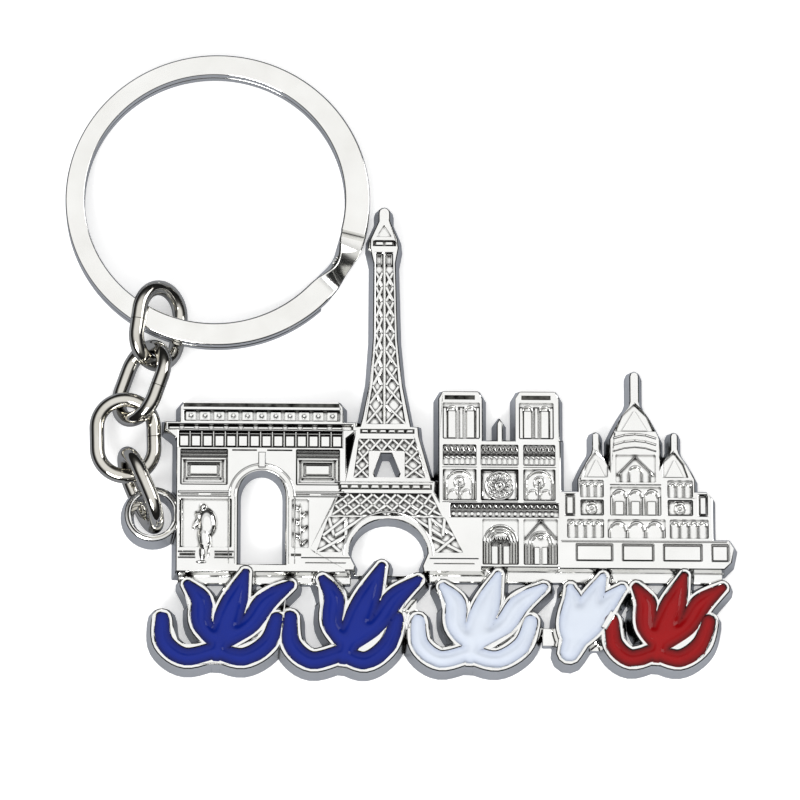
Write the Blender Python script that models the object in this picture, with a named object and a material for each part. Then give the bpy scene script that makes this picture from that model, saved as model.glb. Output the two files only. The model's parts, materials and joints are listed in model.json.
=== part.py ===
"""Souvenir keychain: a cast relief plate with enamel fills, a four-link chain and a split ring.

The keychain lies flat. X runs along the plate, Y from the plate towards the ring, Z up.
Lengths are in millimetres and become metres where a mesh is built.
"""

import math

import bmesh
import bpy
from mathutils import Matrix, Vector

MM = 0.001

# Plate
PLATE_ORIGIN = (-21.8, -20.56)      # lower left corner of the arch in the whole keychain's frame
PLATE_SPAN = 54.8                   # from the arch's left wall to the terrace's right foot
PLATE_LEAN = math.radians(1.75)     # the left edge rests on the first link, the right edge on the floor
DRAFT = 0.45                        # how far a cast wall spreads from the front face to the back
BUILDING_TOP = 2.35
FIELD_TOP = 1.75                    # floor of the recessed fields between the mouldings
WEB_TOP = 1.2                       # low webs that tie the buildings to the lilies
RIM_TOP = 2.45
RIM_WIDTH = 0.4
POCKET_FLOOR = 1.3
ENAMEL_GAP = 0.25
ENAMEL_BOTTOM = 1.6
ENAMEL_TOP = 2.2
CUTTER_EXTRA = 0.5                  # how far a cutter stands out of the solid that it cuts
FLAT_ANGLE = math.radians(0.5)      # faces this close to level with each other are joined

# Eye at the plate's left edge
EYE_CENTRE = (-2.3, 5.1)
EYE_RADIUS = 2.7
EYE_HOLE_RADIUS = 2.2
EYE_TOP = 2.2

# Chain links
WIRE = 1.5
LINK_LENGTH = 9.2
LINK_WIDTH = 7.0
LINK_STEPS = 9                      # points on each round end

# Split ring
RING_CENTRE = (-17.96, 16.42, 1.87)
RING_TILT = 3.29                    # degrees: the side in the chain is raised
RING_TILT_AXIS = 155.6              # degrees from +X
RING_OUTER_RADIUS = 15.0
RING_BAND_WIDTH = 2.2               # mean width, widest beside the free end
RING_BAND_SWELL = 0.3
RING_COIL_HEIGHT = 0.95
RING_COIL_GAP = 0.1
RING_CHAMFER = 0.2
RING_STEP = 6                       # degrees
RING_START = 47                     # the wire runs clockwise: degrees clockwise from +X
RING_CLIMB_START = 374
RING_CLIMB_END = 405
RING_END = 734

NICKEL = (0.80, 0.80, 0.78, 1.0)
BLUE = (0.03, 0.06, 0.32, 1.0)
WHITE = (0.72, 0.78, 0.88, 1.0)
RED = (0.38, 0.01, 0.02, 1.0)


# ---------------------------------------------------------------- outlines

def arc(centre_x, centre_y, radius, start, end, steps):
    """Points on an arc, angles in degrees."""
    points = []
    for i in range(steps + 1):
        angle = math.radians(start + (end - start) * i / steps)
        points.append((centre_x + radius * math.cos(angle), centre_y + radius * math.sin(angle)))
    return points


def circle(centre, radius, steps=40):
    """A closed circle as an outline."""
    return arc(centre[0], centre[1], radius, 0, 360 - 360 / steps, steps - 1)


def rectangle(left, bottom, right, top):
    """A rectangle as an outline."""
    return [(left, bottom), (right, bottom), (right, top), (left, top)]


def spread(outline, distance):
    """The outline moved outwards by distance, with its corners kept sharp."""
    moved = []
    count = len(outline)
    for i, point in enumerate(outline):
        before = Vector(point) - Vector(outline[i - 1])
        after = Vector(outline[(i + 1) % count]) - Vector(point)
        normal_before = Vector((before.y, -before.x)).normalized()
        normal_after = Vector((after.y, -after.x)).normalized()
        corner = normal_before + normal_after
        stretch = min(2 / max(corner.length_squared, 1e-6), 1.3)
        moved.append(tuple(Vector(point) + corner * distance * stretch))
    return moved


def smooth_knots(knots, steps):
    """Points on the smooth curve through knots, which are tuples of any length."""
    padded = [knots[0]] + list(knots) + [knots[-1]]
    points = []
    for i in range(1, len(padded) - 2):
        a, b, c, d = (Vector(padded[i + k]) for k in (-1, 0, 1, 2))
        for step in range(steps):
            t = step / steps
            points.append((2 * b + (c - a) * t + (2 * a - 5 * b + 4 * c - d) * t ** 2
                           + (3 * b - a - 3 * c + d) * t ** 3) / 2)
    points.append(Vector(knots[-1]))
    return points


def stroke(knots, grow=0.0, steps=6, cap_steps=6):
    """Outline of a brush stroke through knots (x, y, half width), with round ends."""
    samples = smooth_knots(knots, steps)
    right, left = [], []
    for i, sample in enumerate(samples):
        ahead = samples[min(i + 1, len(samples) - 1)]
        behind = samples[max(i - 1, 0)]
        heading = math.atan2(ahead.y - behind.y, ahead.x - behind.x)
        width = max(sample.z + grow, 0.08)
        side = Vector((math.sin(heading), -math.cos(heading))) * width
        right.append(tuple(sample.xy + side))
        left.append(tuple(sample.xy - side))
        if i == 0:
            start_cap = arc(sample.x, sample.y, width, math.degrees(heading) + 90,
                            math.degrees(heading) + 270, cap_steps)[1:-1]
        end_cap = arc(sample.x, sample.y, width, math.degrees(heading) - 90,
                      math.degrees(heading) + 90, cap_steps)[1:-1]
    return right + end_cap + left[::-1] + start_cap


# ---------------------------------------------------------------- objects

def collection(name):
    """A new collection in the scene."""
    group = bpy.data.collections.new(name)
    bpy.context.scene.collection.children.link(group)
    return group


def finish_material(name, colour, metallic, roughness):
    """A plain material in the part's colour."""
    material = bpy.data.materials.new(name)
    material.use_nodes = True
    shader = material.node_tree.nodes["Principled BSDF"]
    shader.inputs["Base Color"].default_value = colour
    shader.inputs["Metallic"].default_value = metallic
    shader.inputs["Roughness"].default_value = roughness
    return material


def new_object(name, mesh, parent=None, group=None, material=None):
    """An object with a mesh or a curve, under a parent and in a collection."""
    item = bpy.data.objects.new(name, mesh)
    (group or bpy.context.scene.collection).objects.link(item)
    item.parent = parent
    if material:
        mesh.materials.append(material)
    return item


def prism(name, outline, bottom, top, flare=0.0, foot=None, **place):
    """A solid between two heights. Its foot is spread by flare, or has an outline of its own."""
    foot = foot or (spread(outline, flare) if flare else outline)
    bm = bmesh.new()
    upper = [bm.verts.new((x * MM, y * MM, top * MM)) for x, y in outline]
    lower = [bm.verts.new((x * MM, y * MM, bottom * MM)) for x, y in foot]
    bm.faces.new(upper)
    bm.faces.new(lower[::-1])
    count = len(outline)
    for i in range(count):
        after = (i + 1) % count
        bm.faces.new((lower[i], lower[after], upper[after], upper[i]))
    mesh = bpy.data.meshes.new(name)
    bm.to_mesh(mesh)
    bm.free()
    return new_object(name, mesh, **place)


def guide_prisms(group, parent, outlines, bottom, top, flare=0.0, feet=None):
    """One hidden prism for each outline, for a Boolean modifier to use."""
    for i, outline in enumerate(outlines):
        foot = feet[i] if feet else None
        item = prism(f"{group.name}_{i}", outline, bottom, top, flare, foot, group=group, parent=parent)
        item.hide_render = True
        item.display_type = "WIRE"


def boolean(target, operation, group):
    """Add a Boolean modifier that works with a whole collection."""
    modifier = target.modifiers.new(f"{operation.lower()}_{group.name}", "BOOLEAN")
    modifier.operation = operation
    modifier.operand_type = "COLLECTION"
    modifier.collection = group
    modifier.solver = "EXACT"


def join_flat_faces(target):
    """Merge the flat faces that the Booleans leave in pieces."""
    modifier = target.modifiers.new("flat_faces", "DECIMATE")
    modifier.decimate_type = "DISSOLVE"
    modifier.angle_limit = FLAT_ANGLE


# ---------------------------------------------------------------- relief plate

def arch_blocks():
    """Triumphal arch: body, spreading cornice and attic."""
    body = rectangle(0.0, -0.6, 16.5, 13.0)
    cornice = [(-0.1, 12.7), (16.5, 12.7), (17.5, 13.5), (17.5, 14.3), (-1.1, 14.3), (-1.1, 13.5)]
    attic = [(0.3, 13.9), (16.2, 13.9), (16.2, 15.8), (15.8, 16.3), (0.7, 16.3), (0.3, 15.8)]
    return [body, cornice, attic]


def tower_block():
    """Iron lattice tower with two platforms and a round tip."""
    right = [(29.7, -0.4), (29.7, 1.3), (28.3, 1.3), (26.4, 5.0), (25.1, 7.4), (25.2, 8.5), (24.8, 8.6),
             (23.6, 12.9), (23.5, 13.9), (22.8, 13.95), (22.6, 14.9), (21.9, 18.5), (21.5, 22.7),
             (21.3, 30.3), (21.6, 31.9), (21.5, 32.8), (20.75, 34.6)]
    tip = arc(20.2, 35.45, 0.55, 0, 180, 6)
    left = [(19.65, 34.6), (18.85, 32.8), (18.8, 31.9), (19.15, 30.3), (19.1, 22.7), (18.8, 18.5),
            (18.1, 14.9), (17.85, 13.95), (17.35, 13.9), (17.3, 12.9), (16.4, 8.6), (15.2, 8.5),
            (15.3, 7.4), (14.5, 5.0), (13.1, 1.3), (11.8, 1.3), (11.8, -0.4)]
    return right + tip + left


def cathedral_blocks():
    """Cathedral front: two square towers, a thin roof spire between them and the lower front."""
    front = rectangle(25.5, 0.0, 37.4, 12.6)
    blocks = [front]
    for left in (25.5, 33.0):
        right = left + 4.3
        blocks.append([(left, 12.0), (right, 12.0), (right, 16.8), (right - 0.4, 17.5),
                       (left + 0.4, 17.5), (left, 16.8)])
    blocks.append([(31.2, 12.0), (31.75, 12.0), (31.75, 14.3), (31.45, 14.8), (31.2, 14.3)])
    return blocks


def dome_outline(centre, foot, half_width, spring, apex, tip, stem):
    """A pointed dome on a drum from foot to spring, with a round finial of half width stem."""
    right = [(centre + half_width, foot), (centre + half_width, spring)]
    for t in (0.3, 0.6, 0.85):
        bulge = half_width * (1 - t) ** 0.72
        right.append((centre + max(bulge, stem), spring + (apex - spring) * t))
    right.append((centre + stem, apex))
    finial = arc(centre, tip - stem, stem, 0, 180, 4)
    left = [(2 * centre - x, y) for x, y in reversed(right)]
    return right + finial + left


def basilica_blocks():
    """Domed basilica on its terrace."""
    terrace = [(37.2, -0.1), (53.3, -0.1), (54.0, 0.6), (54.3, 2.0), (53.8, 2.8), (37.2, 2.8)]
    front = [(37.2, 2.5), (52.2, 2.5), (52.2, 6.9), (51.6, 7.6), (37.2, 7.6)]
    main_dome = dome_outline(44.65, 7.0, 2.45, 12.8, 16.6, 19.6, 0.45)
    left_dome = dome_outline(40.85, 7.0, 1.8, 8.8, 11.8, 13.5, 0.35)
    right_dome = dome_outline(48.5, 7.0, 2.0, 8.8, 11.8, 13.5, 0.35)
    return [terrace, front, main_dome, left_dome, right_dome]


def building_openings():
    """Openings that go right through: the arch, the tower's great arch and its trapezoid."""
    arch_way = [(5.9, 0.1), (10.7, 0.1), (10.7, 6.9)]
    arch_way += [(8.3 + 2.4 * math.cos(a), 6.9 + 2.7 * math.sin(a))
                 for a in (math.radians(d) for d in range(10, 171, 10))]
    arch_way += [(5.9, 6.9)]
    tower_arch = [(17.1, -0.9), (24.2, -0.9), (24.0, 0.1), (24.5, 1.3)]
    tower_arch += [(20.6 + 3.9 * math.cos(a), 1.3 + 3.5 * math.sin(a))
                   for a in (math.radians(d) for d in range(10, 171, 10))]
    tower_arch += [(16.7, 1.3), (17.3, 0.1)]
    tower_window = [(19.3, 8.8), (21.6, 8.8), (21.8, 9.3), (21.0, 11.3), (19.8, 11.3), (19.1, 9.3)]
    return [arch_way, tower_arch, tower_window]


def arch_fields():
    """Recessed fields on the arch: studs, dashes, frieze, upper walls and piers."""
    return [
        rectangle(0.65, 14.4, 15.9, 15.45),
        rectangle(-0.8, 13.55, 17.1, 14.05),
        rectangle(0.15, 11.8, 16.2, 13.4),
        rectangle(0.35, 8.0, 5.0, 11.6),
        rectangle(11.6, 8.0, 15.9, 11.6),
        rectangle(0.35, 1.8, 5.4, 6.65),
        rectangle(11.2, 1.8, 12.9, 6.65),
    ]


def tower_fields():
    """Recessed fields on the tower: band, shaft, upper stage and both legs."""
    shaft = [(18.4, 14.2), (20.05, 14.2), (20.05, 31.4), (19.35, 31.4), (19.35, 22.7), (19.1, 18.5)]
    shaft_right = [(20.35, 14.2), (22.3, 14.2), (21.6, 18.5), (21.25, 22.7), (21.05, 31.4), (20.35, 31.4)]
    band = rectangle(19.15, 32.1, 21.25, 32.7)
    roof = [(19.4, 33.05), (20.95, 33.05), (20.2, 34.3)]
    upper = [(17.2, 8.8), (18.7, 8.8), (18.7, 11.5), (22.2, 11.5), (22.2, 8.8), (24.2, 8.8), (23.2, 12.7),
             (17.7, 12.7)]
    lower = [(15.1, 5.1), (25.8, 5.1), (24.8, 7.2), (15.7, 7.2)]
    left_leg = [(13.6, 1.4), (16.0, 1.4), (16.5, 3.0), (18.2, 4.9), (14.8, 4.9)]
    right_leg = [(25.2, 1.4), (27.9, 1.4), (26.1, 4.9), (23.1, 4.9), (24.7, 3.0)]
    return [shaft, shaft_right, band, roof, upper, lower, left_leg, right_leg]


def cathedral_fields():
    """Recessed fields on the cathedral: louvres, balustrades, windows, gallery and portals."""
    fields = [rectangle(25.9, 12.75, 29.55, 16.4), rectangle(33.35, 12.75, 36.75, 16.4)]
    for left, right in ((25.9, 29.2), (29.6, 33.3), (33.75, 36.9)):
        fields.append(rectangle(left, 10.1, right, 12.2))
        fields.append(rectangle(left, 6.6, right, 9.75))
    fields.append(rectangle(26.6, 5.0, 37.2, 6.3))
    fields.append(rectangle(29.75, 0.25, 33.3, 4.8))
    fields.append(rectangle(33.75, 0.25, 37.1, 4.8))
    return fields


def basilica_fields():
    """Recessed fields on the basilica: domes, arcades, side windows and terrace panels."""
    fields = [
        [(42.75, 13.6), (46.6, 13.6), (45.9, 15.2), (44.65, 16.4), (43.4, 15.2)],
        [(39.6, 9.0), (42.0, 9.0), (42.0, 10.6), (40.85, 11.6), (40.0, 10.4)],
        [(47.4, 9.0), (49.9, 9.0), (49.4, 10.4), (48.5, 11.6), (47.4, 10.6)],
        rectangle(42.75, 8.5, 46.7, 11.3),
        rectangle(42.2, 5.2, 47.2, 8.1),
        rectangle(39.3, 7.0, 41.6, 8.75),
        rectangle(39.3, 5.2, 41.6, 6.8),
        rectangle(47.8, 7.0, 50.3, 8.75),
        rectangle(47.8, 5.2, 50.3, 6.8),
        rectangle(37.8, 5.2, 38.8, 7.3),
        rectangle(50.8, 5.2, 51.75, 7.3),
        rectangle(38.0, 2.95, 41.6, 4.85),
        rectangle(41.95, 2.95, 47.6, 4.85),
        rectangle(48.0, 2.95, 51.8, 4.85),
    ]
    for left, right in ((38.8, 42.5), (43.3, 46.5), (47.3, 51.2), (52.0, 53.8)):
        fields.append(rectangle(left, 0.65, right, 2.45))
    return fields


# ---------------------------------------------------------------- enamelled lilies
# Each lily is a group of brush strokes: knots of (x, y, half width), drawn on a base at the origin.

CENTRE_PETAL = [(0.0, 0.6, 0.9), (0.0, 3.2, 1.3), (0.1, 5.8, 1.15), (0.2, 8.4, 0.35)]
SIDE_PETAL = [(0.2, 1.6, 0.8), (2.3, 3.4, 0.95), (3.2, 5.6, 0.95), (5.0, 7.2, 0.4)]
TENDRIL = [(0.0, 0.8, 0.75), (2.8, 0.1, 0.8), (5.0, 1.5, 0.8), (5.6, 3.8, 0.65)]

TENDRIL_SLANT = 0.4                 # tendrils lean less than petals


def placed(knots, base, slant, width, height):
    """Knots leaning to the right by slant, stretched by width and height, on a base point."""
    return [(base[0] + x * width + y * slant, base[1] + y * height, w) for x, y, w in knots]


def lily(base, slant, left, right, height, tendrils=True):
    """Strokes of one lily: a centre petal, two side petals and two tendrils."""
    strokes = [placed(CENTRE_PETAL, base, slant, 1.0, height)]
    for width in (-left, right):
        strokes.append(placed(SIDE_PETAL, base, slant, width, height))
        if tendrils:
            strokes.append(placed(TENDRIL, base, slant * TENDRIL_SLANT, width, height))
    return strokes


def lilies():
    """The five enamelled lilies, from left to right."""
    return {
        "enamel_blue_1": (lily((3.8, -9.1), 0.33, 1.0, 0.98, 1.0), BLUE),
        "enamel_blue_2": (lily((16.0, -9.4), 0.45, 1.0, 0.85, 1.12), BLUE),
        "enamel_white_1": (lily((28.3, -9.2), 0.33, 0.95, 1.0, 1.0), WHITE),
        "enamel_white_2": (lily((37.9, -8.9), 0.4, 0.5, 0.5, 0.95, tendrils=False), WHITE),
        "enamel_red": (lily((46.4, -9.0), 0.33, 0.82, 0.85, 0.98), RED),
    }


def lily_webs():
    """Low webs between the buildings and the lilies, and between neighbouring lilies."""
    return [
        rectangle(0.2, -1.6, 17.0, 0.2),
        rectangle(24.6, -1.3, 53.2, 0.4),
        rectangle(21.0, -5.6, 23.4, -2.8),
        rectangle(35.6, -7.6, 38.6, -5.8),
        rectangle(40.2, -8.0, 43.0, -6.4),
    ]


def enamel_fill(name, strokes, colour, frame):
    """One fill of hard enamel, a little smaller than its pocket."""
    material = finish_material(name, colour, 0.0, 0.12)
    outlines = [stroke(knots, -ENAMEL_GAP) for knots in strokes]
    fill = prism(name, outlines[0], ENAMEL_BOTTOM, ENAMEL_TOP, parent=frame, material=material)
    guides = collection(f"{name}_strokes")
    guide_prisms(guides, frame, outlines[1:], ENAMEL_BOTTOM, ENAMEL_TOP)
    boolean(fill, "UNION", guides)
    join_flat_faces(fill)


def charm_casting(frame, strokes):
    """The plate: buildings with their fields and openings, the eye, and the rims of the lilies."""
    casting = prism("charm_casting", arch_blocks()[0], 0.0, BUILDING_TOP, DRAFT, parent=frame,
                    material=finish_material("nickel_plated_zinc", NICKEL, 1.0, 0.18))
    blocks = collection("blocks")
    outlines = arch_blocks()[1:] + [tower_block()] + cathedral_blocks() + basilica_blocks()
    guide_prisms(blocks, frame, outlines, 0.0, BUILDING_TOP, DRAFT)
    boolean(casting, "UNION", blocks)

    recesses = collection("recesses")
    guide_prisms(recesses, frame, building_openings(), -CUTTER_EXTRA, BUILDING_TOP + CUTTER_EXTRA, -DRAFT)
    fields = arch_fields() + tower_fields() + cathedral_fields() + basilica_fields()
    guide_prisms(recesses, frame, fields, FIELD_TOP, BUILDING_TOP + CUTTER_EXTRA)
    boolean(casting, "DIFFERENCE", recesses)

    rims = collection("rims")
    guide_prisms(rims, frame, [stroke(knots, RIM_WIDTH) for knots in strokes], 0.0, RIM_TOP,
                 feet=[stroke(knots, RIM_WIDTH + DRAFT) for knots in strokes])
    guide_prisms(rims, frame, lily_webs(), 0.0, WEB_TOP)
    guide_prisms(rims, frame, [circle(EYE_CENTRE, EYE_RADIUS)], 0.0, EYE_TOP, DRAFT)
    boolean(casting, "UNION", rims)

    pockets = collection("pockets")
    guide_prisms(pockets, frame, [stroke(knots) for knots in strokes], POCKET_FLOOR, RIM_TOP + CUTTER_EXTRA)
    guide_prisms(pockets, frame, [circle(EYE_CENTRE, EYE_HOLE_RADIUS)], -CUTTER_EXTRA,
                 RIM_TOP + CUTTER_EXTRA, -DRAFT)
    boolean(casting, "DIFFERENCE", pockets)
    join_flat_faces(casting)


def relief_plate():
    """The casting and its fills, leaning so that the right edge touches the floor."""
    frame = new_object("plate_frame", None)
    lift = (PLATE_SPAN + DRAFT) * math.tan(PLATE_LEAN)
    frame.location = (PLATE_ORIGIN[0] * MM, PLATE_ORIGIN[1] * MM, lift * MM)
    frame.rotation_euler = (0.0, PLATE_LEAN, 0.0)
    strokes = []
    for name, (group, colour) in lilies().items():
        enamel_fill(name, group, colour, frame)
        strokes += group
    charm_casting(frame, strokes)


# ---------------------------------------------------------------- chain and ring

def link_turn(heading, pitch, roll):
    """Turn of a link, in degrees: its length from +Y about Z, its slope, and its roll about its length."""
    turn = Matrix.Rotation(math.radians(heading), 3, "Z")
    turn @= Matrix.Rotation(math.radians(pitch), 3, "X")
    turn @= Matrix.Rotation(math.radians(roll), 3, "Y")
    return turn


def chain_link(name, centre, angles, pivot):
    """An oval wire link. Its origin is on the axis that it turns about."""
    half_straight = (LINK_LENGTH - LINK_WIDTH) / 2
    radius = (LINK_WIDTH - WIRE) / 2
    oval = arc(0, half_straight, radius, 0, 180, LINK_STEPS)
    oval += arc(0, -half_straight, radius, 180, 360, LINK_STEPS)
    turn = link_turn(*angles)
    curve = bpy.data.curves.new(name, "CURVE")
    curve.dimensions = "3D"
    curve.bevel_depth = WIRE / 2 * MM
    curve.bevel_resolution = 3
    spline = curve.splines.new("POLY")
    spline.points.add(len(oval) - 1)
    spline.use_cyclic_u = True
    for point, (x, y) in zip(spline.points, oval):
        place = turn @ Vector((x, y, 0)) + Vector(centre) - Vector(pivot)
        point.co = (*(place * MM), 1.0)
    link = new_object(name, curve, material=finish_material(name, NICKEL, 1.0, 0.16))
    link.location = Vector(pivot) * MM


def ring_level(angle):
    """Height of the lower face of the band: low, then a short climb, then high."""
    rise = RING_COIL_HEIGHT + RING_COIL_GAP
    climb = (angle - RING_CLIMB_START) / (RING_CLIMB_END - RING_CLIMB_START)
    climb = min(max(climb, 0.0), 1.0)
    return rise * climb * climb * (3 - 2 * climb)


def band_profile(angle):
    """Section of the band as (radius, height), a little wider beside the free end."""
    width = RING_BAND_WIDTH + RING_BAND_SWELL * math.cos(math.radians(angle - RING_END))
    outer = RING_OUTER_RADIUS
    inner = outer - width
    edge = RING_CHAMFER
    height = RING_COIL_HEIGHT
    return [(inner + edge, 0), (outer - edge, 0), (outer, edge), (outer, height - edge),
            (outer - edge, height), (inner + edge, height), (inner, height - edge), (inner, edge)]


def split_ring():
    """A flat band wound twice, with a short climb from the lower coil to the upper one."""
    middle = RING_COIL_HEIGHT + RING_COIL_GAP / 2
    steps = round((RING_END - RING_START) / RING_STEP)
    bm = bmesh.new()
    loops = []
    for i in range(steps + 1):
        angle = RING_START + (RING_END - RING_START) * i / steps
        level = ring_level(angle) - middle
        turn = math.radians(-angle)
        loop = []
        for radius, height in band_profile(angle):
            place = (radius * math.cos(turn), radius * math.sin(turn), height + level)
            loop.append(bm.verts.new(Vector(place) * MM))
        loops.append(loop)
    count = len(loops[0])
    for near, far in zip(loops, loops[1:]):
        for i in range(count):
            after = (i + 1) % count
            bm.faces.new((near[i], near[after], far[after], far[i]))
    bm.faces.new(loops[0][::-1])
    bm.faces.new(loops[-1])
    bmesh.ops.recalc_face_normals(bm, faces=bm.faces)
    mesh = bpy.data.meshes.new("split_ring")
    bm.to_mesh(mesh)
    bm.free()
    ring = new_object("split_ring", mesh, material=finish_material("spring_steel", NICKEL, 1.0, 0.14))
    axis = Vector((math.cos(math.radians(RING_TILT_AXIS)), math.sin(math.radians(RING_TILT_AXIS)), 0))
    ring.matrix_world = (Matrix.Translation(Vector(RING_CENTRE) * MM)
                         @ Matrix.Rotation(math.radians(RING_TILT), 4, axis))


def chain():
    """The four links from the eye to the ring: centre, heading, pitch and roll, and point on the hinge."""
    chain_link("chain_link_1", (-25.23, -13.01, 3.47), (23.35, -0.58, -77.6), (-24.065, -15.46, 2.858))
    chain_link("chain_link_2", (-26.79, -7.63, 2.75), (1.7, -0.24, 2.53), (-26.756, -9.475, 3.431))
    chain_link("chain_link_3", (-25.28, -2.17, 2.84), (-19.38, 2.96, -47.62), (-26.8, -3.61, 2.4))
    chain_link("chain_link_4", (-23.68, 3.61, 2.73), (-7.19, 0.28, 45.97), (-24.004, 1.457, 3.039))


def main():
    """Build the keychain in an empty scene."""
    for item in list(bpy.data.objects):
        bpy.data.objects.remove(item)
    relief_plate()
    chain()
    split_ring()


main()
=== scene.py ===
"""Souvenir keychain: a polished relief plate with enamelled lilies, a four-link chain and a split ring.

The relief is laid out in millimetres on the plate's own frame, whose origin is the arch's lower left corner.
"""

import json
import math

import bmesh
import bpy
import numpy as np
from bpy.props import FloatProperty, FloatVectorProperty, IntProperty, PointerProperty
from mathutils import Matrix, Vector
from mathutils.bvhtree import BVHTree


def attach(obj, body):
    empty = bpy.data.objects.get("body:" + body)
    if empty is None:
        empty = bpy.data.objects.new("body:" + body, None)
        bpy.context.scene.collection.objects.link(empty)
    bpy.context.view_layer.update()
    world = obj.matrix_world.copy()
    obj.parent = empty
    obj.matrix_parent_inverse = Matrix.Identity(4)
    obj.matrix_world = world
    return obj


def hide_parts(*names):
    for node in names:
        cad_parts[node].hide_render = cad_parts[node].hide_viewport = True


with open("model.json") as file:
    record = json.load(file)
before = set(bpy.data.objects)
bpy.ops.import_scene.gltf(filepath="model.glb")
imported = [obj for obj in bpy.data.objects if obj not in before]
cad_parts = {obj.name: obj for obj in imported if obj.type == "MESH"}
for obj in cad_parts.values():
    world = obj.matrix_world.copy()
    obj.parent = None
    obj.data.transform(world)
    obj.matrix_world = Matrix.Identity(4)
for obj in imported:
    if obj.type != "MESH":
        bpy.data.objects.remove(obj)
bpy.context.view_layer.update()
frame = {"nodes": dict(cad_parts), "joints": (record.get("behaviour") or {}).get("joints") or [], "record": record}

bl_info = {
    "name": "Souvenir keychain",
    "version": (1, 0, 0),
    "blender": (4, 5, 0),
    "location": "View3D > Sidebar > Keychain",
    "description": "Builds the visible pieces of a souvenir keychain and its studio",
    "category": "Object",
}

MM = 0.001
CASTING_FINISH = "bright_nickel_on_cast_zinc"

# Heights over the plate's back
FIELD_FLOOR = 1.75
FACE = 2.35
PROUD = 0.1                         # how far a moulding stands over the face
MOULDING = 2.28                     # top of a moulding inside a field
SINK = 0.15                         # how deep a moulding is sunk in what it stands on
STEP_DOWN = 0.035                   # height between mouldings that cross
SHADE_STRIP_PROUD = 0.03                 # how far a strip of painted groove shade stands over its bed

# Where the mount on the back is, along and up from the corner
BACK_MOUNT = (3, 4)
# Centres of the arch way and of the eye beside the arch
ARCH_WAY = (8.3, 6.9)
EYE = (-2.3, 5.1)
# Shaft of the tower: its ends, the outer edges of its two fields by height, and the rib between them
SHAFT_BOTTOM = 14.2
SHAFT_TOP = 31.4
SHAFT_LEFT = ((14.2, 18.42), (18.5, 19.12), (22.7, 19.37), (31.4, 19.37))
SHAFT_RIGHT = ((14.2, 22.28), (18.5, 21.58), (22.7, 21.23), (31.4, 21.03))
SHAFT_RIB = (20.05, 20.35)


def colour(code):
    """Linear RGBA from an sRGB hex value."""
    channels = [int(code[i:i + 2], 16) / 255 for i in (0, 2, 4)]
    return tuple(c / 12.92 if c <= 0.04045 else ((c + 0.055) / 1.055) ** 2.4 for c in channels) + (1.0,)


# ---------------------------------------------------------------- sizes and colours

def length_prop(name, description, millimetres):
    """A length, shown in the scene's unit."""
    return FloatProperty(name=name, description=description, default=millimetres * MM, unit="LENGTH")


def number_prop(name, description, value):
    """A plain number: millimetres in the plate's frame, degrees along the ring, or a ratio."""
    return FloatProperty(name=name, description=description, default=value)


def count_prop(name, description, value):
    """A whole number."""
    return IntProperty(name=name, description=description, default=value)


def angle_prop(name, description, degrees):
    """An angle."""
    return FloatProperty(name=name, description=description, default=math.radians(degrees),
                         subtype="ANGLE", unit="ROTATION")


def colour_prop(name, description, code):
    """A colour from an sRGB hex value."""
    return FloatVectorProperty(name=name, description=description, default=colour(code), subtype="COLOR",
                               size=4)


class ReliefSizes(bpy.types.PropertyGroup):
    """Edges and bars of the cast relief."""

    casting_edge: length_prop("Casting edge", "Rounding of the casting's edges", 0.09)
    moulding_edge: length_prop("Moulding edge", "Chamfer on the mouldings' upper edges", 0.075)
    strut: number_prop("Strut", "Width of the tower's struts in millimetres", 0.33)
    shaft_cell: number_prop("Shaft cell", "Height of the lowest cell of the shaft in millimetres", 1.95)
    figure_grain: length_prop("Figure grain", "Voxel size of the modelled figures", 0.055)


class EnamelSizes(bpy.types.PropertyGroup):
    """Surface of the enamel in its pockets, in millimetres over the plate's back."""

    grain: length_prop("Grain", "Voxel size of the fills", 0.13)
    gap: number_prop("Gap", "Gap round the solid fills that the enamel closes", 0.25)
    overlap: number_prop("Overlap", "How far the enamel runs under the rim", 0.12)
    wall_level: number_prop("Wall level", "Height at the rim", 2.38)
    low_level: number_prop("Low level", "Height just inside the rim", 2.02)
    crown: number_prop("Crown", "Rise to the middle of a wide stroke", 0.4)
    meniscus: number_prop("Meniscus", "Width of the curl at the rim", 0.1)
    shoulder: number_prop("Shoulder", "Distance over which the crown rises", 0.62)
    # Painted shade: the enamel is drawn darker over this width beside the rim
    rim_shade_width: number_prop("Tinted", "Width of the deeper colour beside the rim", 0.35)
    smoothing: count_prop("Smoothing", "Rounds of smoothing of the surface", 6)


class LinkSizes(bpy.types.PropertyGroup):
    """Wire of the chain links."""

    sides: count_prop("Sides", "Sides of the wire's section", 24)
    end_steps: count_prop("End steps", "Steps round each end of a link", 28)
    seam: length_prop("Seam", "Width of the butt joint in the wire", 0.07)
    seam_waist: number_prop("Seam waist", "Wire thickness at the butt joint", 0.9)


class RingSizes(bpy.types.PropertyGroup):
    """Flat band of the split ring. Angles are in degrees, clockwise from +X."""

    band: length_prop("Band", "Mean width of the band", 2.2)
    swell: length_prop("Swell", "Extra width beside the free end", 0.3)
    coil: length_prop("Coil", "Thickness of one coil", 0.95)
    gap: length_prop("Gap", "Gap between the coils", 0.1)
    edge: length_prop("Edge", "Rounding of the band's edges", 0.2)
    start: number_prop("Start", "Where the lower coil begins", 47.0)
    climb_start: number_prop("Climb start", "Where the band starts to climb", 374.0)
    climb_end: number_prop("Climb end", "Where the climb ends", 405.0)
    end: number_prop("End", "Where the upper coil ends", 734.0)
    climb_waist: number_prop("Climb waist", "Band width in the climb, as a part of the full width", 0.8)
    climb_roll: angle_prop("Climb roll", "How far the band rolls outwards in the climb", 52)
    blunt: length_prop("Blunt", "How far the rounding of a cut end stands out", 0.12)
    steps: count_prop("Steps", "Steps along the band", 420)


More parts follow.
